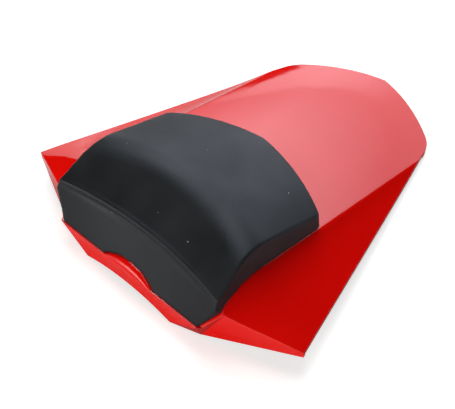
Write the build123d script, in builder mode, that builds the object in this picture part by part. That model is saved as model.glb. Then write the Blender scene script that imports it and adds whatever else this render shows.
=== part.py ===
from build123d import *
import os
from math import atan, atan2, cos, hypot, radians, sin, tan

# Seat cowl, millimetres. X runs across, Y to the tail, Z up. It rests on the nose and on the tail lip.
# A station is a distance back from the foremost point; Y = 0 is half way along the cowl.

# Plan of the shell
cowl_length = 336.0
wing_span = 290.0
wing_station = 37.5
tail_width = 158.4
tail_corner_station = 294.4
tail_bulge = 5.2
tail_corner_radius = 30.0

# Deck: a crowned sheet between two shoulder lines that climb from the tail to the hump under the pad
wall = 3.0
deck_width = 174.0
deck_crown = 12.4
deck_pitch = 10.3
tail_corner_height = 3.6
hump_station = 60.0
hump_roll = 70.0
shoulder_radius = 2.6

# Wings: the sheet falls steeply from the shoulder, then flares out to a thin edge
fall_angle = 50.0
fall_run_front = 11.0
fall_run_rear = 3.5
flare_width_front = 314.0
flare_width_rear = 200.0
flare_drop_front = 32.8
flare_drop_rear = 9.6
wing_fold_angle = 23.3
belly_rise = 9.6
belly_width_front = 92.0
hollow_splay = 21.0

# Nose: an upright lip below a ledge that the pad stands on
ledge_height = 20.0
lip_set_back = 0.3
lip_arch_height = 7.0
nose_width = 135.8
nose_plan_flare = 29.5
nose_side_lean = 19.8
nose_tuck_station = 5.9
nose_tuck_height = 5.6
pad_reveal = 2.2
seat_slope = 55.6
seat_station = 12.5
seat_hollow_radius = 390.0

# Pad: three zones between a crease and a bend, higher along the middle than at the sides
pad_front_station = 1.0
pad_crease_station = 18.5
pad_crease_height = 53.0
pad_bend_station = 60.0
pad_bend_height = 81.5
pad_point_station = 157.2
pad_point_height = 55.5
pad_side_crease_station = 8.2
pad_side_crease_height = 52.0
pad_side_bend_station = 44.0
pad_side_bend_height = 74.0
pad_rear_corner_station = 128.0
pad_rear_corner_height = 48.1
pad_width = 168.0
pad_front_spread = 4.8
pad_rear_taper = 1.6
pad_waist_height = 45.0
pad_draft = 8.0
pad_rear_bulge = 4.2
pad_rear_corner_radius = 6.0
pad_point_radius = 9.0
pad_crease_radius = 9.0
pad_bend_radius = 32.0
pad_side_bend_radius = 46.0
notch_width = 52.0
notch_height = 7.0

# Studs and nuts that hold the pad
stud_spacing = 96.0
stud_front_station = 62.0
stud_rear_station = 108.0
stud_diameter = 6.0
stud_plate_diameter = 18.0
stud_plate_thickness = 2.0
stud_plate_lift = 5.0
stud_clearance = 0.3
stud_boss_diameter = 17.0
stud_boss_height = 5.0
nut_height = 6.0
nut_width = 10.0
nut_flange_diameter = 14.0
nut_flange_thickness = 1.5
stud_end = 3.0

# Latch bracket, striker and screws
bracket_station = 168.0
bracket_width = 84.0
bracket_depth = 34.0
bracket_height = 23.0
bracket_thickness = 3.0
bracket_flange = 9.0
bracket_bend_radius = 2.0
screw_spacing = 64.0
screw_row = 13.0
screw_clearance = 0.2
screw_diameter = 4.8
screw_length = 11.0
screw_head_diameter = 9.5
screw_head_height = 3.2
screw_boss_diameter = 12.0
striker_diameter = 8.0
striker_span = 34.0
striker_bar_height = 8.0
striker_bend_radius = 8.0

# Support rubbers on moulded pegs
rubber_diameter = 20.0
rubber_height = 9.0
rubber_taper = 8.0
rubber_bottom_height = 11.0
rubber_spacing = 120.0
rubber_front_station = 80.0
rubber_rear_station = 196.0
peg_diameter = 7.0
peg_length = 6.0
rubber_boss_diameter = 15.0

# Ribs and tongue moulded under the deck
rib_thickness = 2.0
rib_depth = 7.0
rib_spacing = 60.0
rib_front_station = 50.0
rib_rear_station = 286.0
front_cross_rib_station = 132.0
middle_cross_rib_station = 226.0
rear_cross_rib_station = 274.0
tongue_width = 40.0
tongue_thickness = 4.0
tongue_station = 236.0
tongue_reach = 24.0
tongue_height = 9.0

# Room beyond the shell for the blocks that trim it
margin = 30.0
overrun = 2.0


def along(station):
    return station - cowl_length / 2


def deck_line(station):
    return tail_corner_height + (tail_corner_station - station) * tan(radians(deck_pitch))


def shoulder_height(station):
    roll = max(0.0, hump_station - station)
    return deck_line(station) - roll**2 / (2 * hump_roll)


def deck_height(x, station):
    return shoulder_height(station) + deck_crown * (1 - (2 * x / deck_width) ** 2)


def between(front, rear, station):
    share = (station - wing_station) / (tail_corner_station - wing_station)
    return front + (rear - front) * min(share, 1.0)


def section_outline(station, inset):
    # One cross-section: crown, rounded shoulders, falling sides and straight walls below
    fall = radians(fall_angle)
    crown = atan(4 * deck_crown / deck_width)
    half = deck_width / 2 - inset * (cos(crown) - cos(fall)) / sin(fall - crown)
    top = shoulder_height(station) - inset * (sin(fall) - sin(crown)) / sin(fall - crown)
    run = between(fall_run_front, fall_run_rear, station)
    foot_x = between(flare_width_front, flare_width_rear, station) / 2
    foot_z = deck_line(station) - between(flare_drop_front, flare_drop_rear, station)
    crown_x = half - shoulder_radius
    crown_z = top + deck_crown * (1 - (crown_x / half) ** 2)
    peak_z = 2 * (top + deck_crown) - crown_z
    round_x = half + shoulder_radius * cos(fall)
    round_z = top - shoulder_radius * sin(fall)
    fall_x = half + run
    fall_z = top - run * tan(fall)
    flare = atan2(fall_z - foot_z, foot_x - fall_x)
    foot_x -= inset * sin(flare)
    foot_z -= inset * cos(flare)
    Bezier((-crown_x, crown_z), (0, peak_z), (crown_x, crown_z))
    Bezier((crown_x, crown_z), (half, top), (round_x, round_z))
    Bezier((round_x, round_z), (fall_x, fall_z), (foot_x, foot_z))
    Line((foot_x, foot_z), (foot_x, -margin))
    Line((foot_x, -margin), (-foot_x, -margin))
    Line((-foot_x, -margin), (-foot_x, foot_z))
    Bezier((-foot_x, foot_z), (-fall_x, fall_z), (-round_x, round_z))
    Bezier((-round_x, round_z), (-half, top), (-crown_x, crown_z))


def bow_point(corner, point, bulge):
    # The middle of a rear edge, pushed outwards from its chord
    run_x = corner[0] - point[0]
    run_y = point[1] - corner[1]
    length = hypot(run_x, run_y)
    x = (corner[0] + point[0]) / 2 + bulge * run_y / length
    return x, (corner[1] + point[1]) / 2 + bulge * run_x / length


def plan_outline(inset):
    # Straight wing edges and two bowed tail edges; the hollow runs out through the wing edges
    corner_x = tail_width / 2
    corner_y = along(tail_corner_station - inset)
    point_y = along(cowl_length - inset)
    taper = (wing_span / 2 - corner_x) / (tail_corner_station - wing_station)
    front_x = wing_span / 2 + taper * (wing_station + margin) + hollow_splay * inset / wall
    front_y = along(-margin)
    bow_x, bow_y = bow_point((corner_x, corner_y), (0, point_y), tail_bulge)
    Line((-front_x, front_y), (front_x, front_y))
    Line((front_x, front_y), (corner_x, corner_y))
    ThreePointArc((corner_x, corner_y), (bow_x, bow_y), (0, point_y))
    ThreePointArc((0, point_y), (-bow_x, bow_y), (-corner_x, corner_y))
    Line((-corner_x, corner_y), (-front_x, front_y))


def fold_corner(height, inset):
    # Where the side of the nose meets the folded front of the wing, at one height
    fold = tan(radians(wing_fold_angle))
    flare = tan(radians(nose_plan_flare))
    lean = tan(radians(nose_side_lean))
    nose_x = nose_width / 2 + height * lean - inset * hypot(1, flare, lean)
    fold_station = wing_station + inset / cos(radians(wing_fold_angle))
    x = (nose_x + flare * (fold_station - fold * wing_span / 2)) / (1 - flare * fold)
    return x, fold_station - fold * (wing_span / 2 - x), nose_x, fold, flare


def wing_front_outline(height, inset, side):
    # The empty corner ahead of one wing, beside the nose
    x, station, nose_x, fold, flare = fold_corner(height, inset)
    far_x = wing_span / 2 + 2 * margin
    far_station = station + fold * (far_x - x)
    ahead = -margin
    Polyline(
        (side * x, along(station)),
        (side * far_x, along(far_station)),
        (side * far_x, along(ahead)),
        (side * (nose_x + flare * ahead), along(ahead)),
        close=True,
    )


def pad_seat(inset):
    # The hollow front of the shell above the ledge, where the pad stands
    slope = radians(seat_slope)
    face = Plane(
        origin=(0, along(seat_station), ledge_height),
        x_dir=(1, 0, 0),
        z_dir=(0, cos(slope), sin(slope)),
    )
    with BuildPart() as seat:
        with BuildSketch(face):
            with Locations((0, -seat_hollow_radius)):
                Circle(seat_hollow_radius + inset)
        extrude(amount=cowl_length / 2, both=True)
        split(bisect_by=Plane.XY.offset(ledge_height - inset), keep=Keep.TOP)
    return seat.part


def nose_tuck(inset, side):
    # The facet that bends the lower corner of the lip back under the nose
    lean = tan(radians(nose_side_lean))
    flare = tan(radians(nose_plan_flare))
    ledge_x = nose_width / 2 + ledge_height * lean
    tuck_x = nose_width / 2 + nose_tuck_height * lean + nose_tuck_station * flare
    kink = Vector(side * belly_width_front / 2, along(lip_set_back), 0)
    ledge_end = Vector(side * ledge_x, along(0), ledge_height)
    tuck = Vector(side * tuck_x, along(nose_tuck_station), nose_tuck_height)
    facet = Plane(origin=kink, x_dir=ledge_end - kink, z_dir=side * (ledge_end - kink).cross(tuck - kink))
    return facet.offset(inset)


def cowl_form(inset):
    # The outer body of the cowl as a solid, or the hollow inside it when an inset is given
    seat = pad_seat(inset)
    with BuildPart() as form:
        for station in (-overrun, (hump_station - overrun) / 2, hump_station):
            with BuildSketch(Plane.XZ.offset(-along(station))):
                with BuildLine():
                    section_outline(station, inset)
                make_face()
        loft()
        for station in (hump_station, tail_corner_station, cowl_length + overrun):
            with BuildSketch(Plane.XZ.offset(-along(station))):
                with BuildLine():
                    section_outline(station, inset)
                make_face()
        loft(ruled=True)
        with BuildSketch(Plane.XY.offset(-2 * margin)) as plan:
            with BuildLine():
                plan_outline(inset)
            make_face()
            fillet(plan.vertices().group_by(Axis.Y)[-2], tail_corner_radius - inset)
        extrude(amount=cowl_length, mode=Mode.INTERSECT)
        for side in (1, -1):
            for height in (-2 * margin, 3 * margin):
                with BuildSketch(Plane.XY.offset(height)):
                    with BuildLine():
                        wing_front_outline(height, inset, side)
                    make_face()
            loft(ruled=True, mode=Mode.SUBTRACT)
        lean = lip_set_back / ledge_height
        with BuildSketch(Plane.YZ):
            with BuildLine():
                Polyline(
                    (along(inset), ledge_height),
                    (along(inset), ledge_height + 2 * margin),
                    (along(-margin), ledge_height + 2 * margin),
                    (along(-margin), -2 * margin),
                    (along(inset + lean * (ledge_height + 2 * margin)), -2 * margin),
                    close=True,
                )
            make_face()
        extrude(amount=wing_span, both=True, mode=Mode.SUBTRACT)
        add(seat, mode=Mode.SUBTRACT)
        for side in (1, -1):
            split(bisect_by=nose_tuck(inset, side), keep=Keep.TOP)
    return form.part


def belly_plane(side):
    # The underside of one wing: it rises from the level middle along a line that spreads to the tail
    rise = tan(radians(belly_rise))
    spread = (tail_width - belly_width_front) / 2 / tail_corner_station
    return Plane(
        origin=(side * belly_width_front / 2, along(0), 0),
        x_dir=(side * spread, 1, 0),
        z_dir=(-side * rise, rise * spread, 1),
    )


def post(x, station, diameter, foot):
    # A boss from a level foot up into the middle of the deck's wall
    lean_x = 8 * x * deck_crown / deck_width**2
    root = (x, along(station), deck_height(x, station) - wall / 2)
    with BuildPart() as boss:
        with BuildSketch(Plane.XY.offset(foot)):
            with Locations((x, along(station))):
                Circle(diameter / 2)
        extrude(amount=cowl_length)
        split(
            bisect_by=Plane(origin=root, z_dir=(lean_x, tan(radians(deck_pitch)), 1)),
            keep=Keep.BOTTOM,
        )
    return boss.part


def cross_rib_outline(station):
    # A rib across the deck that follows the crown
    half = deck_width / 2 - 2 * wall
    side = deck_height(half, station) - wall / 2
    middle = deck_height(0, station) - wall / 2
    drop = rib_depth + wall / 2
    Bezier((-half, side), (0, 2 * middle - side), (half, side))
    Line((half, side), (half, side - drop))
    Bezier((half, side - drop), (0, 2 * middle - side - drop), (-half, side - drop))
    Line((-half, side - drop), (-half, side))


def stud_seat(x, station):
    return deck_height(x, station) - wall - stud_boss_height


def pad_line_point(middle, side, x):
    # A point of the pad's long section, moved from its middle line towards its sides
    share = (2 * x / pad_width) ** 2
    station = middle[0] + (side[0] - middle[0]) * share
    height = middle[1] + (side[1] - middle[1]) * share
    return along(station), height


def pad_section(x):
    # One long section of the pad: front face, crease, ramp, bend and top
    end = pad_point_station + margin
    top_fall = (pad_bend_height - pad_point_height) / (pad_point_station - pad_bend_station)
    side_fall = (pad_side_bend_height - pad_rear_corner_height) / (
        pad_rear_corner_station - pad_side_bend_station
    )
    front = (along(pad_front_station), ledge_height)
    crease = pad_line_point(
        (pad_crease_station, pad_crease_height),
        (pad_side_crease_station, pad_side_crease_height),
        x,
    )
    bend = pad_line_point(
        (pad_bend_station, pad_bend_height),
        (pad_side_bend_station, pad_side_bend_height),
        x,
    )
    rear = pad_line_point(
        (end, pad_bend_height - top_fall * (end - pad_bend_station)),
        (end, pad_side_bend_height - side_fall * (end - pad_side_bend_station)),
        x,
    )
    share = min(1.0, (2 * x / pad_width) ** 2)
    bend_radius = pad_bend_radius + (pad_side_bend_radius - pad_bend_radius) * share
    FilletPolyline(front, crease, bend, rear, radius=[pad_crease_radius, bend_radius])
    Polyline(rear, (along(end), ledge_height), front)


def pad_plan():
    # The pad from above: long sides and a pointed, bowed rear edge
    front_x = (pad_width + pad_front_spread) / 2
    rear_x = (pad_width - pad_rear_taper) / 2
    front_y = along(-margin)
    rear_y = along(pad_rear_corner_station)
    point_y = along(pad_point_station)
    bow_x, bow_y = bow_point((rear_x, rear_y), (0, point_y), pad_rear_bulge)
    Line((-front_x, front_y), (front_x, front_y))
    Line((front_x, front_y), (rear_x, rear_y))
    ThreePointArc((rear_x, rear_y), (bow_x, bow_y), (0, point_y))
    ThreePointArc((0, point_y), (-bow_x, bow_y), (-rear_x, rear_y))
    Line((-rear_x, rear_y), (-front_x, front_y))


def pad_corner_outline(height, side):
    # The empty corner beside the pad's lower front, level with the side of the nose
    nose_x = nose_width / 2 + height * tan(radians(nose_side_lean)) - pad_reveal
    flare = tan(radians(nose_plan_flare))
    far_x = wing_span
    Polyline(
        (side * (nose_x - flare * margin), along(-margin)),
        (side * (nose_x + flare * 2 * margin), along(2 * margin)),
        (side * far_x, along(2 * margin)),
        (side * far_x, along(-margin)),
        close=True,
    )


body = cowl_form(0)
hollow = cowl_form(wall)

stud_places = [
    (side * stud_spacing / 2, station)
    for station in (stud_front_station, stud_rear_station)
    for side in (-1, 1)
]
screw_places = [
    (side * screw_spacing / 2, bracket_station + row * screw_row / 2)
    for row in (-1, 1)
    for side in (-1, 1)
]
rubber_places = [
    (side * rubber_spacing / 2, station)
    for station in (rubber_front_station, rubber_rear_station)
    for side in (-1, 1)
]
cross_rib_stations = (front_cross_rib_station, middle_cross_rib_station, rear_cross_rib_station)
peg_seat = rubber_bottom_height + rubber_height

# Ribs: two along the deck and three across it
with BuildPart() as ribs:
    for side in (-1, 1):
        rib_x = side * rib_spacing / 2
        front_z = deck_height(rib_x, rib_front_station) - wall / 2
        rear_z = deck_height(rib_x, rib_rear_station) - wall / 2
        rib_drop = rib_depth + wall / 2
        with BuildSketch(Plane.YZ.offset(rib_x - rib_thickness / 2)):
            with BuildLine():
                Polyline(
                    (along(rib_front_station), front_z),
                    (along(rib_rear_station), rear_z),
                    (along(rib_rear_station), rear_z - rib_drop),
                    (along(rib_front_station), front_z - rib_drop),
                    close=True,
                )
            make_face()
        extrude(amount=rib_thickness)
    for station in cross_rib_stations:
        with BuildSketch(Plane.XZ.offset(-along(station))):
            with BuildLine():
                cross_rib_outline(station)
            make_face()
        extrude(amount=rib_thickness)

# Tongue: an L-shaped hook that points to the tail
with BuildPart() as tongue:
    web_rear = tongue_station + tongue_thickness
    tongue_top = tongue_height + tongue_thickness
    with BuildSketch(Plane.YZ.offset(-tongue_width / 2)):
        with BuildLine():
            Polyline(
                (along(tongue_station), tongue_height),
                (along(tongue_station + tongue_reach), tongue_height),
                (along(tongue_station + tongue_reach), tongue_top),
                (along(web_rear), tongue_top),
                (along(web_rear), deck_height(tongue_width / 2, web_rear) - wall / 2),
                (along(tongue_station), deck_height(tongue_width / 2, tongue_station) - wall / 2),
                close=True,
            )
        make_face()
    extrude(amount=tongue_width)

# Bosses for the studs and screws, and stepped pegs for the rubbers
bosses = [post(x, station, stud_boss_diameter, stud_seat(x, station)) for x, station in stud_places]
bosses += [post(x, station, screw_boss_diameter, bracket_height) for x, station in screw_places]
bosses += [post(x, station, rubber_boss_diameter, peg_seat) for x, station in rubber_places]
bosses += [post(x, station, peg_diameter, peg_seat - peg_length) for x, station in rubber_places]

# Shell: one moulding, open underneath, with its ribs, bosses, pegs and tongue
with BuildPart() as cowl_shell:
    add(body)
    with BuildSketch(Plane.XZ.offset(-along(0))):
        with BuildLine():
            arch_half = belly_width_front / 2
            ThreePointArc((-arch_half, 0), (0, lip_arch_height), (arch_half, 0))
            Line((arch_half, 0), (-arch_half, 0))
        make_face()
    extrude(amount=margin, both=True, mode=Mode.SUBTRACT)
    add(hollow, mode=Mode.SUBTRACT)
    add(ribs.part)
    add(tongue.part)
    for boss in bosses:
        add(boss)
    for belly in (Plane.XY, belly_plane(1), belly_plane(-1)):
        split(bisect_by=belly, keep=Keep.TOP)
    with BuildSketch(Plane.XY):
        for x, station in stud_places:
            with Locations((x, along(station))):
                Circle(stud_diameter / 2 + stud_clearance)
    extrude(amount=cowl_length, mode=Mode.SUBTRACT)
    with BuildSketch(Plane.XY.offset(bracket_height)):
        for x, station in screw_places:
            with Locations((x, along(station))):
                Circle(screw_diameter / 2)
    extrude(amount=screw_length - bracket_thickness, mode=Mode.SUBTRACT)

# Studs: a rod with a round plate that is moulded into the pad
with BuildPart() as pad_studs:
    for x, station in stud_places:
        seat = stud_seat(x, station)
        plate = deck_height(x, station) + stud_plate_lift
        foot = seat - nut_height - stud_end
        with BuildSketch(Plane.XY.offset(foot)):
            with Locations((x, along(station))):
                Circle(stud_diameter / 2)
        extrude(amount=plate - foot)
        with BuildSketch(Plane.XY.offset(plate)):
            with Locations((x, along(station))):
                Circle(stud_plate_diameter / 2)
        extrude(amount=stud_plate_thickness)

# Nuts: flanged hexagon nuts under the bosses
with BuildPart() as pad_nuts:
    for x, station in stud_places:
        seat = stud_seat(x, station)
        with BuildSketch(Plane.XY.offset(seat)):
            with Locations((x, along(station))):
                Circle(nut_flange_diameter / 2)
        extrude(amount=-nut_flange_thickness)
        with BuildSketch(Plane.XY.offset(seat)):
            with Locations((x, along(station))):
                RegularPolygon(nut_width / 2, 6, major_radius=False)
        extrude(amount=-nut_height)
        with BuildSketch(Plane.XY.offset(seat)):
            with Locations((x, along(station))):
                Circle(stud_diameter / 2)
        extrude(amount=-nut_height, mode=Mode.SUBTRACT)

# Pad: a crowned block, cut to its plan and fitted down onto the shell and round its studs
with BuildPart() as bump_pad:
    for x in (-pad_width / 2 - margin / 3, 0, pad_width / 2 + margin / 3):
        with BuildSketch(Plane.YZ.offset(x)):
            with BuildLine():
                pad_section(x)
            make_face()
    loft()
    with BuildSketch(Plane.XY.offset(ledge_height)) as plan:
        with BuildLine():
            pad_plan()
        make_face()
        fillet(plan.vertices().group_by(Axis.Y)[-2], pad_rear_corner_radius)
        fillet(plan.vertices().group_by(Axis.Y)[-1], pad_point_radius)
        offset(amount=(pad_waist_height - ledge_height) * tan(radians(pad_draft)), mode=Mode.REPLACE)
    extrude(amount=pad_bend_height, taper=pad_draft, mode=Mode.INTERSECT)
    for side in (1, -1):
        for height in (-margin, 3 * margin):
            with BuildSketch(Plane.XY.offset(height)):
                with BuildLine():
                    pad_corner_outline(height, side)
                make_face()
        loft(ruled=True, mode=Mode.SUBTRACT)
    with BuildSketch(Plane.XZ.offset(-along(0))):
        with BuildLine():
            notch_half = notch_width / 2
            ThreePointArc(
                (-notch_half, ledge_height),
                (0, ledge_height + notch_height),
                (notch_half, ledge_height),
            )
            Line((notch_half, ledge_height), (-notch_half, ledge_height))
        make_face()
    extrude(amount=margin, both=True, mode=Mode.SUBTRACT)
    add(body, mode=Mode.SUBTRACT)
    add(pad_studs.part, mode=Mode.SUBTRACT)

# Latch bracket: a folded steel channel across the shell
with BuildPart() as latch_bracket:
    bracket_y = along(bracket_station)
    outer = bracket_depth / 2
    inner = outer - bracket_thickness
    bracket_foot = bracket_height - bracket_thickness - bracket_flange
    bracket_under = bracket_height - bracket_thickness
    with BuildSketch(Plane.YZ.offset(-bracket_width / 2)) as channel:
        with BuildLine():
            Polyline(
                (bracket_y - outer, bracket_foot),
                (bracket_y - outer, bracket_height),
                (bracket_y + outer, bracket_height),
                (bracket_y + outer, bracket_foot),
                (bracket_y + inner, bracket_foot),
                (bracket_y + inner, bracket_under),
                (bracket_y - inner, bracket_under),
                (bracket_y - inner, bracket_foot),
                close=True,
            )
        make_face()
        fillet(channel.vertices().group_by(Axis.Y)[1], bracket_bend_radius)
        fillet(channel.vertices().group_by(Axis.Y)[-1], bracket_bend_radius + bracket_thickness)
    extrude(amount=bracket_width)
    with BuildSketch(Plane.XY.offset(bracket_foot)):
        for x, station in screw_places:
            with Locations((x, along(station))):
                Circle(screw_diameter / 2 + screw_clearance)
        with Locations((-striker_span / 2, bracket_y), (striker_span / 2, bracket_y)):
            Circle(striker_diameter / 2)
    extrude(amount=2 * margin, mode=Mode.SUBTRACT)

# Striker: a bent rod with both ends in the bracket
with BuildPart() as latch_striker:
    with BuildLine() as route:
        FilletPolyline(
            (-striker_span / 2, bracket_y, bracket_height),
            (-striker_span / 2, bracket_y, striker_bar_height),
            (striker_span / 2, bracket_y, striker_bar_height),
            (striker_span / 2, bracket_y, bracket_height),
            radius=striker_bend_radius,
        )
    with BuildSketch(Plane(origin=(-striker_span / 2, bracket_y, bracket_height), z_dir=(0, 0, -1))):
        Circle(striker_diameter / 2)
    sweep()

# Screws: pan heads under the bracket, shanks in the bosses
with BuildPart() as bracket_screws:
    for x, station in screw_places:
        with BuildSketch(Plane.XY.offset(bracket_under)):
            with Locations((x, along(station))):
                Circle(screw_diameter / 2)
        extrude(amount=screw_length)
        with BuildSketch(Plane.XY.offset(bracket_under - screw_head_height)):
            with Locations((x, along(station))):
                Circle(screw_head_diameter / 2)
        extrude(amount=screw_head_height)

# Rubbers: tapered stops pushed onto the pegs
with BuildPart() as support_rubbers:
    for x, station in rubber_places:
        with BuildSketch(Plane.XY.offset(peg_seat)):
            with Locations((x, along(station))):
                Circle(rubber_diameter / 2)
        extrude(amount=-rubber_height, taper=rubber_taper)
        with BuildSketch(Plane.XY.offset(peg_seat)):
            with Locations((x, along(station))):
                Circle(peg_diameter / 2)
        extrude(amount=-peg_length, mode=Mode.SUBTRACT)

cowl_shell.part.label = "cowl_shell"
bump_pad.part.label = "bump_pad"
pad_studs.part.label = "pad_studs"
pad_nuts.part.label = "pad_nuts"
latch_bracket.part.label = "latch_bracket"
latch_striker.part.label = "latch_striker"
bracket_screws.part.label = "bracket_screws"
support_rubbers.part.label = "support_rubbers"

os.makedirs("parts", exist_ok=True)
export_step(cowl_shell.part, "parts/cowl_shell.step")
export_step(bump_pad.part, "parts/bump_pad.step")
export_step(pad_studs.part, "parts/pad_studs.step")
export_step(pad_nuts.part, "parts/pad_nuts.step")
export_step(latch_bracket.part, "parts/latch_bracket.step")
export_step(latch_striker.part, "parts/latch_striker.step")
export_step(bracket_screws.part, "parts/bracket_screws.step")
export_step(support_rubbers.part, "parts/support_rubbers.step")
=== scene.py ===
from math import copysign, cos, exp, radians, sin, sqrt

import bmesh
import bpy
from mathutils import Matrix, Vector
from mathutils.bvhtree import BVHTree


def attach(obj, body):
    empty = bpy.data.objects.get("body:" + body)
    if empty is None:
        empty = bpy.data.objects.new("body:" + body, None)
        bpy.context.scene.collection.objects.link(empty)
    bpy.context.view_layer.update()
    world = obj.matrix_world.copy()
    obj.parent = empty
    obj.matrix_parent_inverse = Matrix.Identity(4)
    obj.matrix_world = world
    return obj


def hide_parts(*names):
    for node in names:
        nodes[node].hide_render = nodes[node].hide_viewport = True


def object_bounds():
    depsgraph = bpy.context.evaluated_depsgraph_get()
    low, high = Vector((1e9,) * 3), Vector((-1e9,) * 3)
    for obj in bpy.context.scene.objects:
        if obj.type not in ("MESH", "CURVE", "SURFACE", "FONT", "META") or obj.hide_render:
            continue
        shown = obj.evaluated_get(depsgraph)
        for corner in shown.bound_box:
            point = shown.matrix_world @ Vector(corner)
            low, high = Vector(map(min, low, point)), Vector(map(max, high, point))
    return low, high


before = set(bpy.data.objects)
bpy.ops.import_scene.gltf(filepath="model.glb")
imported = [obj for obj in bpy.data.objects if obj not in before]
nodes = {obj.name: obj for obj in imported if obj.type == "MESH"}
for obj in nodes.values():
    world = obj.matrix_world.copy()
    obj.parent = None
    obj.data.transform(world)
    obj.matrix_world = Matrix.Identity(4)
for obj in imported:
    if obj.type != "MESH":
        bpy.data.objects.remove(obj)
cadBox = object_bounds()
fullRange = (0.0, 1.0)
pureWhite = (1.0, 1.0, 1.0, 1.0)
print("frame loaded:", len(nodes), "nodes")


# Helpers for the node materials
def startMaterial(name):
    material = bpy.data.materials.new(name)
    material.use_nodes = True
    tree = material.node_tree
    place = tree.nodes.new("ShaderNodeTexCoord")
    return material, tree, tree.nodes["Principled BSDF"], place


def feed(tree, socket, value):
    if isinstance(value, float):
        socket.default_value = value
    elif isinstance(value, tuple):
        socket.default_value = (*value, 1.0)
    else:
        tree.links.new(value, socket)


def noise(tree, place, scale, detail=3.0):
    node = tree.nodes.new("ShaderNodeTexNoise")
    feed(tree, node.inputs["Scale"], scale)
    feed(tree, node.inputs["Detail"], detail)
    feed(tree, node.inputs["Vector"], place.outputs["Object"])
    return node.outputs["Fac"]


def cells(tree, place, scale):
    node = tree.nodes.new("ShaderNodeTexVoronoi")
    feed(tree, node.inputs["Scale"], scale)
    feed(tree, node.inputs["Vector"], place.outputs["Object"])
    return node


def toRange(tree, value, source, target):
    node = tree.nodes.new("ShaderNodeMapRange")
    feed(tree, node.inputs["From Min"], source[0])
    feed(tree, node.inputs["From Max"], source[1])
    feed(tree, node.inputs["To Min"], target[0])
    feed(tree, node.inputs["To Max"], target[1])
    feed(tree, node.inputs["Value"], value)
    return node.outputs["Result"]


def mixColour(tree, share, first, second):
    node = tree.nodes.new("ShaderNodeMix")
    node.data_type = "RGBA"
    feed(tree, node.inputs["Factor"], share)
    feed(tree, node.inputs[6], first)  # 6 and 7 are the colour sockets
    feed(tree, node.inputs[7], second)
    return node.outputs[2]


def mixValue(tree, share, first, second):
    node = tree.nodes.new("ShaderNodeMix")
    feed(tree, node.inputs["Factor"], share)
    feed(tree, node.inputs[2], first)  # 2 and 3 are the value sockets
    feed(tree, node.inputs[3], second)
    return node.outputs[0]


def combine(tree, operation, first, second):
    node = tree.nodes.new("ShaderNodeMath")
    node.operation = operation
    feed(tree, node.inputs[0], first)
    feed(tree, node.inputs[1], second)
    return node.outputs["Value"]


def bump(tree, height, distance, under=None):
    node = tree.nodes.new("ShaderNodeBump")
    feed(tree, node.inputs["Strength"], 1.0)
    feed(tree, node.inputs["Distance"], distance)
    feed(tree, node.inputs["Height"], height)
    if under is not None:
        feed(tree, node.inputs["Normal"], under)
    return node.outputs["Normal"]


def whiteRays(tree):
    rays = tree.nodes.new("ShaderNodeLightPath").outputs
    mirrored = combine(tree, "MAXIMUM", rays["Is Glossy Ray"], rays["Is Transmission Ray"])
    return rays["Is Camera Ray"], mirrored


def mattPaint(shader, albedo):
    shader.inputs["Base Color"].default_value = (albedo, albedo, albedo, 1.0)
    shader.inputs["Roughness"].default_value = 1.0
    shader.inputs["Specular IOR Level"].default_value = 0.0


def dress(obj, material):
    obj.data.materials.clear()
    obj.data.materials.append(material)


# Helpers for the meshes
def newObject(name, builder):
    mesh = bpy.data.meshes.new(name)
    builder.to_mesh(mesh)
    builder.free()
    obj = bpy.data.objects.new(name, mesh)
    bpy.context.scene.collection.objects.link(obj)
    return obj


def shadeSmooth(mesh):
    mesh.polygons.foreach_set("use_smooth", [True] * len(mesh.polygons))


# Red lacquer outside, bare moulded plastic on the faces that look down
shellFinish = {
    "red": (0.79, 0.0035, 0.0014),
    "deepRed": (0.74, 0.0028, 0.0011),
    "bareRed": (0.40, 0.010, 0.008),
    "cloudScale": 14.0,
    "cloudSpread": (0.3, 0.7),
    "glossScale": 42.0,
    "gloss": (0.05, 0.07),
    "bareRoughness": 0.46,
    "peelScale": 260.0,
    "peelDetail": 1.0,
    "peelDepth": 0.000012,
    "grainScale": 2200.0,
    "grainDepth": 0.00010,
    "edgeRadius": 0.0011,
    "edgeSamples": 6,
    "down": (-0.25, -0.45),  # the normal's rise where the lacquer ends
}


def shellMaterial(look):
    material, tree, shader, place = startMaterial("shellRed")
    normalParts = tree.nodes.new("ShaderNodeSeparateXYZ")
    feed(tree, normalParts.inputs[0], place.outputs["Normal"])
    down = toRange(tree, normalParts.outputs["Z"], look["down"], fullRange)
    cloud = toRange(tree, noise(tree, place, look["cloudScale"]), look["cloudSpread"], fullRange)
    paint = mixColour(tree, cloud, look["red"], look["deepRed"])
    feed(tree, shader.inputs["Base Color"], mixColour(tree, down, paint, look["bareRed"]))
    gloss = toRange(tree, noise(tree, place, look["glossScale"]), look["cloudSpread"], look["gloss"])
    feed(tree, shader.inputs["Roughness"], mixValue(tree, down, gloss, look["bareRoughness"]))
    rounded = tree.nodes.new("ShaderNodeBevel")
    rounded.samples = look["edgeSamples"]
    rounded.inputs["Radius"].default_value = look["edgeRadius"]
    waves = noise(tree, place, look["peelScale"], look["peelDetail"])
    peel = bump(tree, waves, look["peelDepth"], rounded.outputs[0])
    grain = combine(tree, "MULTIPLY", noise(tree, place, look["grainScale"]), down)
    feed(tree, shader.inputs["Normal"], bump(tree, grain, look["grainDepth"], peel))
    return material


shellRed = shellMaterial(shellFinish)
dress(nodes["cowl_shell"], shellRed)
print("shell dressed")


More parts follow.
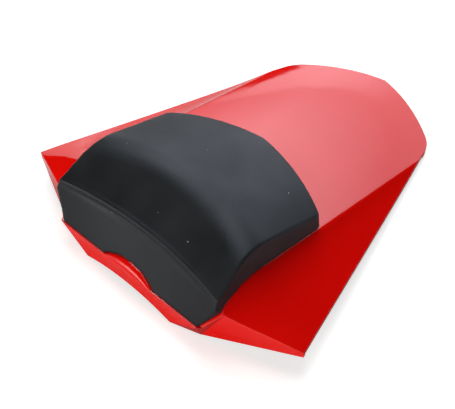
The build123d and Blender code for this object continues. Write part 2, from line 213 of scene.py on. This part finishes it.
# Nose tab: the lip's rolled edge that rises into the notch of the pad
tabShape = {
    "halfWidth": 0.0254,
    "notchHalf": 0.026,
    "notchHeight": 0.007,
    "gap": 0.0002,
    "ledge": 0.020,
    "root": 0.015,
    "front": -0.16815,
    "buried": 0.00035,
    "padFront": -0.1670,
    "padLean": 17.5 / 33.0,  # the pad's front goes back 17.5 mm in 33 mm of height
    "inset": 0.0002,
    "back": -0.1560,
    "rollShare": 0.96,  # 1 would turn the roll's top level
    "sharpAngle": 40.0,
    "columns": 48,
    "rows": 14,
}


def tabColumn(shape, across):
    radius = (shape["notchHalf"] ** 2 + shape["notchHeight"] ** 2) / (2.0 * shape["notchHeight"])
    rise = sqrt(radius ** 2 - across ** 2) - radius + shape["notchHeight"] - shape["gap"]
    topFront = shape["padFront"] + rise * shape["padLean"] + shape["inset"]
    fullRoll = 1.0 - sqrt(1.0 - shape["rollShare"])
    points = [(across, shape["back"], shape["root"])]
    points.append((across, shape["front"] + shape["buried"], shape["root"]))
    for row in range(shape["rows"] + 1):
        up = row / shape["rows"]
        roll = (1.0 - sqrt(1.0 - shape["rollShare"] * up ** 2)) / fullRoll
        front = shape["front"] + (topFront - shape["front"]) * roll
        points.append((across, front, shape["ledge"] + rise * up))
    points.append((across, shape["back"], shape["ledge"] + rise))
    return points


def tabPiece(shape):
    skin = bmesh.new()
    rings = []
    for column in range(shape["columns"] + 1):
        across = shape["halfWidth"] * (2.0 * column / shape["columns"] - 1.0)
        rings.append([skin.verts.new(point) for point in tabColumn(shape, across)])
    for left, right in zip(rings, rings[1:]):
        for first in range(len(left)):
            second = (first + 1) % len(left)
            skin.faces.new((left[first], left[second], right[second], right[first]))
    skin.faces.new(rings[0])
    skin.faces.new(rings[-1][::-1])
    bmesh.ops.recalc_face_normals(skin, faces=skin.faces)
    tab = newObject("noseTab", skin)
    shadeSmooth(tab.data)
    tab.data.set_sharp_from_angle(angle=radians(shape["sharpAngle"]))
    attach(tab, "root")
    return tab


noseTab = tabPiece(tabShape)
dress(noseTab, shellRed)
print("nose tab made:", len(noseTab.data.polygons), "faces")


# Pad: a soft-edged skin over the moulded block, with a bead and a groove along its crease
padShape = {
    "weld": 1e-6,
    "voxel": 0.0010,
    "smoothing": 9,
    "smoothStep": 0.5,
    "halfWidth": 0.084,
    "creaseMiddle": (-0.1495, 0.0530),  # Y and Z
    "creaseSide": (-0.1598, 0.0520),
    "rampWay": (0.64, 0.77),
    "bead": {"height": 0.0010, "shift": 0.0024, "width": 0.0025},
    "groove": {"height": -0.0006, "shift": -0.0020, "width": 0.0024},
    "sideFade": 0.6,
    "swell": 0.0010,
}
padFinish = {
    "black": (0.0086, 0.0092, 0.0106),
    "grey": (0.0126, 0.0134, 0.0152),
    "dust": (0.30, 0.30, 0.29),
    "cloudScale": 24.0,
    "cloudDetail": 5.0,
    "cloudSpread": (0.3, 0.7),
    "roughness": (0.38, 0.54),
    "specular": 0.26,
    # painted light: a bluish tint on the pad's reflections, standing in for the bluish key light
    "paintedBlueSheen": (0.74, 0.86, 1.0),
    "grainScale": 1100.0,
    "grainDepth": 0.00003,
    "poreScale": 1500.0,
    "poreDetail": 2.0,
    "poreDepth": 0.00003,
    "dustScale": 60.0,
    "dustSize": 0.028,
}


def padMaterial(look):
    material, tree, shader, place = startMaterial("padBlack")
    clouds = noise(tree, place, look["cloudScale"], look["cloudDetail"])
    cloud = toRange(tree, clouds, look["cloudSpread"], fullRange)
    skin = mixColour(tree, cloud, look["black"], look["grey"])
    speck = cells(tree, place, look["dustScale"]).outputs["Distance"]
    dusty = combine(tree, "LESS_THAN", speck, look["dustSize"])
    feed(tree, shader.inputs["Base Color"], mixColour(tree, dusty, skin, look["dust"]))
    feed(tree, shader.inputs["Roughness"], toRange(tree, cloud, fullRange, look["roughness"]))
    feed(tree, shader.inputs["Specular IOR Level"], look["specular"])
    # Painted light: the specular tint gives the reflections a bluish sheen that stands in for bluish
    # light
    feed(tree, shader.inputs["Specular Tint"], look["paintedBlueSheen"])
    pebbles = cells(tree, place, look["grainScale"]).outputs["Distance"]
    grain = bump(tree, pebbles, look["grainDepth"])
    holes = noise(tree, place, look["poreScale"], look["poreDetail"])
    feed(tree, shader.inputs["Normal"], bump(tree, holes, look["poreDepth"], grain))
    return material


def weldedBlock(obj, weld):
    block = bmesh.new()
    block.from_mesh(obj.data)
    bmesh.ops.remove_doubles(block, verts=block.verts, dist=weld)
    bmesh.ops.recalc_face_normals(block, faces=block.faces)
    return block, BVHTree.FromBMesh(block)


def softenSkin(pad, shape):
    remesh = pad.modifiers.new("even", "REMESH")
    remesh.mode = "VOXEL"
    remesh.voxel_size = shape["voxel"]
    soften = pad.modifiers.new("soften", "SMOOTH")
    soften.factor = shape["smoothStep"]
    soften.iterations = shape["smoothing"]
    depsgraph = bpy.context.evaluated_depsgraph_get()
    softMesh = bpy.data.meshes.new_from_object(pad.evaluated_get(depsgraph))
    pad.modifiers.clear()
    pad.data = softMesh


def keepInside(pad, blockTree):
    for vertex in pad.data.vertices:
        spot, normal = blockTree.find_nearest(vertex.co)[:2]
        if (vertex.co - spot).dot(normal) > 0.0:
            vertex.co = spot


def raiseSkin(pad, shape):
    middle = Vector(shape["creaseMiddle"])
    sideways = Vector(shape["creaseSide"]) - middle
    rampWay = Vector(shape["rampWay"])
    outward = [vertex.normal.copy() for vertex in pad.data.vertices]
    for vertex, normal in zip(pad.data.vertices, outward):
        share = (vertex.co.x / shape["halfWidth"]) ** 2
        offset = Vector(vertex.co.yz) - (middle + sideways * share)
        up = copysign(offset.length, offset.dot(rampWay))
        hump = 4.0 * max(0.0, share * (1.0 - share))  # 1 at its peak on either side
        lift = shape["swell"] * hump * max(0.0, normal.z) ** 2
        fade = 1.0 - shape["sideFade"] * min(1.0, share)
        for ridge in (shape["bead"], shape["groove"]):
            lift += fade * ridge["height"] * exp(-((up - ridge["shift"]) / ridge["width"]) ** 2)
        vertex.co += normal * lift


def padPiece(shape):
    block, blockTree = weldedBlock(nodes["bump_pad"], shape["weld"])
    pad = newObject("padSkin", block)
    softenSkin(pad, shape)
    keepInside(pad, blockTree)
    raiseSkin(pad, shape)
    shadeSmooth(pad.data)
    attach(pad, "root")
    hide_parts("bump_pad")
    return pad


padSkin = padPiece(padShape)
dress(padSkin, padMaterial(padFinish))
print("pad made:", len(padSkin.data.polygons), "faces")


# Zinc plating on the studs, nuts, screws and striker
zincFinish = {
    "pale": (0.66, 0.66, 0.64),
    "warm": (0.56, 0.54, 0.47),
    "spangleScale": 420.0,
    "roughness": (0.24, 0.42),
    "grainScale": 2600.0,
    "grainDepth": 0.00002,
}


def zincMaterial(look):
    material, tree, shader, place = startMaterial("zincSteel")
    feed(tree, shader.inputs["Metallic"], 1.0)
    patch = tree.nodes.new("ShaderNodeSeparateColor")
    feed(tree, patch.inputs[0], cells(tree, place, look["spangleScale"]).outputs["Color"])
    plating = mixColour(tree, patch.outputs[0], look["pale"], look["warm"])
    feed(tree, shader.inputs["Base Color"], plating)
    feed(tree, shader.inputs["Roughness"], toRange(tree, patch.outputs[1], fullRange, look["roughness"]))
    grain = bump(tree, noise(tree, place, look["grainScale"]), look["grainDepth"])
    feed(tree, shader.inputs["Normal"], grain)
    return material


zincSteel = zincMaterial(zincFinish)
for name in ("pad_studs", "pad_nuts", "latch_striker", "bracket_screws"):
    dress(nodes[name], zincSteel)


# Black powder coat on the bracket, paler where it is worn
coatFinish = {
    "black": (0.022, 0.022, 0.024),
    "pale": (0.07, 0.07, 0.07),
    "cloudScale": 60.0,
    "cloudDetail": 6.0,
    "cloudSpread": (0.45, 0.8),
    "roughness": (0.38, 0.5),
    "grainScale": 900.0,
    "grainDetail": 1.0,
    "grainDepth": 0.00006,
}

# Matt rubber on the stops, paler where it blooms
rubberFinish = {
    "black": (0.024, 0.024, 0.024),
    "pale": (0.055, 0.055, 0.056),
    "cloudScale": 130.0,
    "cloudDetail": 5.0,
    "cloudSpread": (0.35, 0.75),
    "roughness": (0.62, 0.8),
    "grainScale": 1800.0,
    "grainDetail": 3.0,
    "grainDepth": 0.00008,
}


def mottledMaterial(name, look):
    material, tree, shader, place = startMaterial(name)
    clouds = noise(tree, place, look["cloudScale"], look["cloudDetail"])
    cloud = toRange(tree, clouds, look["cloudSpread"], fullRange)
    feed(tree, shader.inputs["Base Color"], mixColour(tree, cloud, look["black"], look["pale"]))
    feed(tree, shader.inputs["Roughness"], toRange(tree, cloud, fullRange, look["roughness"]))
    grain = noise(tree, place, look["grainScale"], look["grainDetail"])
    feed(tree, shader.inputs["Normal"], bump(tree, grain, look["grainDepth"]))
    return material


dress(nodes["latch_bracket"], mottledMaterial("blackSteel", coatFinish))
dress(nodes["support_rubbers"], mottledMaterial("stopRubber", rubberFinish))
print("fittings dressed")


# Floor, pale to the light, white to the camera, and white in mirrors away from the object
floorLook = {
    "size": 16.0,
    "albedo": 0.64,
    "nearGlow": 0.68,
    "farGlow": 1.0,
    "reach": (0.6, 2.0),  # where the near glow ends and the far glow is full
    "drop": 0.0002,
}


def floorMaterial(look):
    material, tree, shader, place = startMaterial("floorWhite")
    mattPaint(shader, look["albedo"])
    shader.inputs["Emission Color"].default_value = pureWhite
    away = tree.nodes.new("ShaderNodeVectorMath")
    away.operation = "LENGTH"
    feed(tree, away.inputs[0], place.outputs["Object"])
    distance = away.outputs["Value"]
    seenGlow = toRange(tree, distance, look["reach"], (look["nearGlow"], look["farGlow"]))
    mirrorGlow = toRange(tree, distance, look["reach"], (0.0, look["farGlow"]))
    seen, mirrored = whiteRays(tree)
    seenGlow = combine(tree, "MULTIPLY", seen, seenGlow)
    mirrorGlow = combine(tree, "MULTIPLY", mirrored, mirrorGlow)
    feed(tree, shader.inputs["Emission Strength"], combine(tree, "ADD", seenGlow, mirrorGlow))
    return material


def makePlane(name, width, height):
    sheet = bmesh.new()
    corners = [(-0.5, -0.5), (0.5, -0.5), (0.5, 0.5), (-0.5, 0.5)]
    sheet.faces.new([sheet.verts.new((across * width, up * height, 0.0)) for across, up in corners])
    return newObject(name, sheet)


floor = makePlane("floor", floorLook["size"], floorLook["size"])
floor.location.z = cadBox[0][2] - floorLook["drop"]
dress(floor, floorMaterial(floorLook))


# Studio light: a key panel behind on the left, one overhead and one in front
panels = {
    "keyPanel": {
        "turn": -25.0,
        "rise": 27.0,
        "away": 2.5,
        "size": (3.6, 1.75),
        "power": 1.85,
        "colour": (0.95, 0.98, 1.06),
        "leftFade": 0.40,
        "rightFade": 0.12,
        "slant": 1.12,
        "slope": (0.22, 0.03),
        "slopeGain": 1.75,
        "band": (0.224, 0.237),
        "bandGain": 1.4,
        "bandEnd": (0.60, 0.50),
    },
    "topPanel": {
        "turn": -50.0,
        "rise": 63.0,
        "away": 1.8,
        "size": (1.4, 1.4),
        "power": 5.2,
        "colour": (1.0, 1.0, 1.0),
        "leftFade": 0.2,
        "rightFade": 0.2,
    },
    "frontPanel": {
        "turn": 174.0,
        "rise": 10.0,
        "away": 1.8,
        "size": (3.4, 0.62),
        "power": 5.7,
        "colour": (1.08, 1.0, 0.90),
        "leftFade": 0.2,
        "rightFade": 0.2,
    },
}


# Brighter towards the upper left, with a paler band along the lower edge
def slantedGain(tree, look, across, up):
    slanted = combine(tree, "SUBTRACT", combine(tree, "MULTIPLY", across, look["slant"]), up)
    slope = toRange(tree, slanted, look["slope"], (1.0, look["slopeGain"]))
    band = toRange(tree, slanted, look["band"], (0.0, look["bandGain"] - 1.0))
    ending = toRange(tree, across, look["bandEnd"], fullRange)
    band = combine(tree, "ADD", combine(tree, "MULTIPLY", band, ending), 1.0)
    return combine(tree, "MULTIPLY", slope, band)


def panelMaterial(name, look):
    material = bpy.data.materials.new(name)
    material.use_nodes = True
    tree = material.node_tree
    tree.nodes.clear()
    place = tree.nodes.new("ShaderNodeTexCoord")
    parts = tree.nodes.new("ShaderNodeSeparateXYZ")
    feed(tree, parts.inputs[0], place.outputs["Generated"])
    across = parts.outputs["X"]
    glow = toRange(tree, across, (0.0, look["leftFade"]), (0.0, look["power"]))
    falling = toRange(tree, across, (1.0, 1.0 - look["rightFade"]), fullRange)
    glow = combine(tree, "MULTIPLY", glow, falling)
    if "slant" in look:
        glow = combine(tree, "MULTIPLY", glow, slantedGain(tree, look, across, parts.outputs["Y"]))
    light = tree.nodes.new("ShaderNodeEmission")
    feed(tree, light.inputs["Color"], look["colour"])
    feed(tree, light.inputs["Strength"], glow)
    output = tree.nodes.new("ShaderNodeOutputMaterial")
    feed(tree, output.inputs["Surface"], light.outputs[0])
    return material


def faceObject(name, look, material):
    sheet = makePlane(name, *look["size"])
    turn = radians(look["turn"])
    rise = radians(look["rise"])
    outward = Vector((sin(turn) * cos(rise), cos(turn) * cos(rise), sin(rise)))
    sheet.location = outward * look["away"]
    sheet.rotation_euler = (-outward).to_track_quat("Z", "Y").to_euler()
    sheet.visible_camera = False
    dress(sheet, material)


for name, look in panels.items():
    faceObject(name, look, panelMaterial(name, look))


# Dark cards between the panels, which the lacquer mirrors as deep red
cardAlbedo = 0.02
cards = {
    "rightCard": {"turn": 27.0, "rise": 50.0, "away": 2.7, "size": (3.2, 3.6)},
    "sideCard": {"turn": 76.0, "rise": 42.0, "away": 2.9, "size": (4.2, 3.6)},
    "leftCard": {"turn": -87.0, "rise": 28.0, "away": 2.6, "size": (2.0, 2.6)},
    "frontCard": {"turn": -146.0, "rise": 54.0, "away": 2.3, "size": (2.6, 2.4)},
    "lowCard": {"turn": -17.5, "rise": 4.0, "away": 2.6, "size": (3.3, 0.36)},
}
cardBlack = bpy.data.materials.new("cardBlack")
cardBlack.use_nodes = True
mattPaint(cardBlack.node_tree.nodes["Principled BSDF"], cardAlbedo)
for name, look in cards.items():
    faceObject(name, look, cardBlack)
print("light set:", len(panels), "panels and", len(cards), "cards")


# World: dim to the light, white where the camera or a mirror sees past the floor
worldLook = {"ambient": 0.03, "seen": 1.0}
world = bpy.data.worlds.new("studio")
bpy.context.scene.world = world
world.use_nodes = True
worldTree = world.node_tree
background = worldTree.nodes["Background"]
background.inputs["Color"].default_value = pureWhite
seenOrMirrored = combine(worldTree, "MAXIMUM", *whiteRays(worldTree))
level = toRange(worldTree, seenOrMirrored, fullRange, (worldLook["ambient"], worldLook["seen"]))
feed(worldTree, background.inputs["Strength"], level)


# Camera at the photograph's viewing angle
cameraLook = {
    "place": (0.343686, -0.459022, 0.593702),
    "turn": (42.1198, -2.1806, 42.6817),
    "lens": 75.165,
    "sensor": 36.0,
}
camera = bpy.data.objects.new("camera", bpy.data.cameras.new("camera"))
camera.location = cameraLook["place"]
camera.rotation_euler = [radians(angle) for angle in cameraLook["turn"]]
camera.data.lens = cameraLook["lens"]
camera.data.sensor_width = cameraLook["sensor"]
camera.data.sensor_fit = "HORIZONTAL"
bpy.context.scene.collection.objects.link(camera)
bpy.context.scene.camera = camera
bpy.context.scene.view_settings.view_transform = "Standard"
print("stage set")
